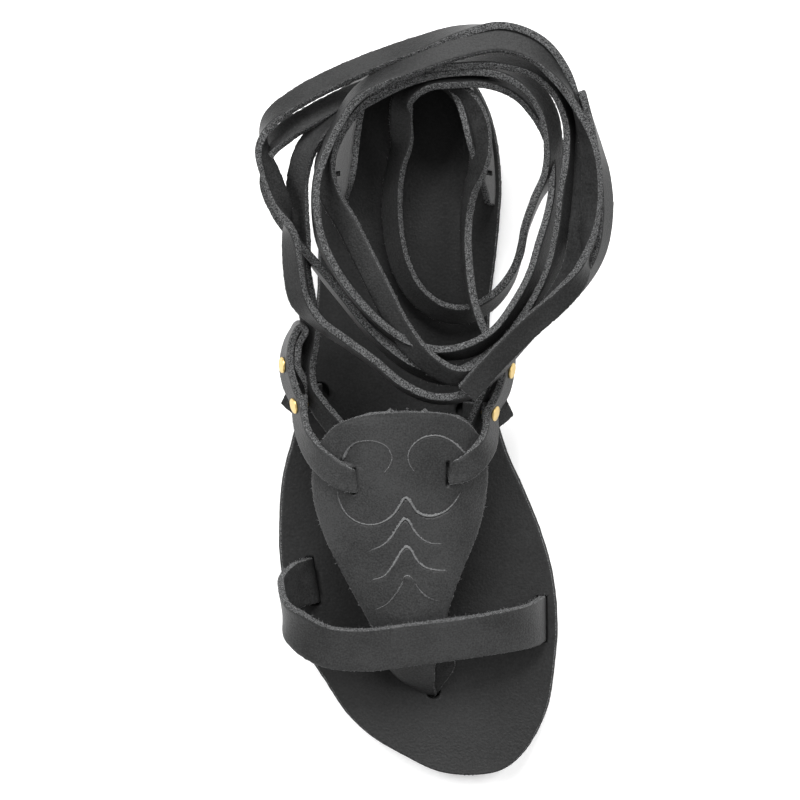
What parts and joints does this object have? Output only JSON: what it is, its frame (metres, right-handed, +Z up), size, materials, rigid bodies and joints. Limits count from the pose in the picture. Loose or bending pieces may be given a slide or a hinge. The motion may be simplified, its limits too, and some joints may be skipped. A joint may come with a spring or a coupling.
{
  "type": "leather sandal",
  "caption": "Flat black leather lace-up sandal for a right foot: thonged instep piece, toe strap, riveted side straps, low heel band and long loose ties.",
  "frame": {"origin": "on the floor under the middle of the sole, half-way between toe and heel and across its widest part", "axes": "+Y from toe to heel, +X towards the big-toe side, +Z up"},
  "size_m": [0.1227, 0.264, 0.065],
  "materials": {
    "outsole": "matt",
    "insole": "satin",
    "upper": "satin",
    "tie": "satin",
    "rivet": "polished"
  },
  "bodies": {
    "root": {"outsole": "outsole", "insole": "insole", "upper": "upper", "heel_counter": "upper", "rivet_left_front": "rivet", "rivet_left_back": "rivet", "rivet_right_front": "rivet", "rivet_right_back": "rivet", "tie_coil": "tie", "tie_lead_left": "tie", "tie_lead_right": "tie"}
  },
  "joints": []
}
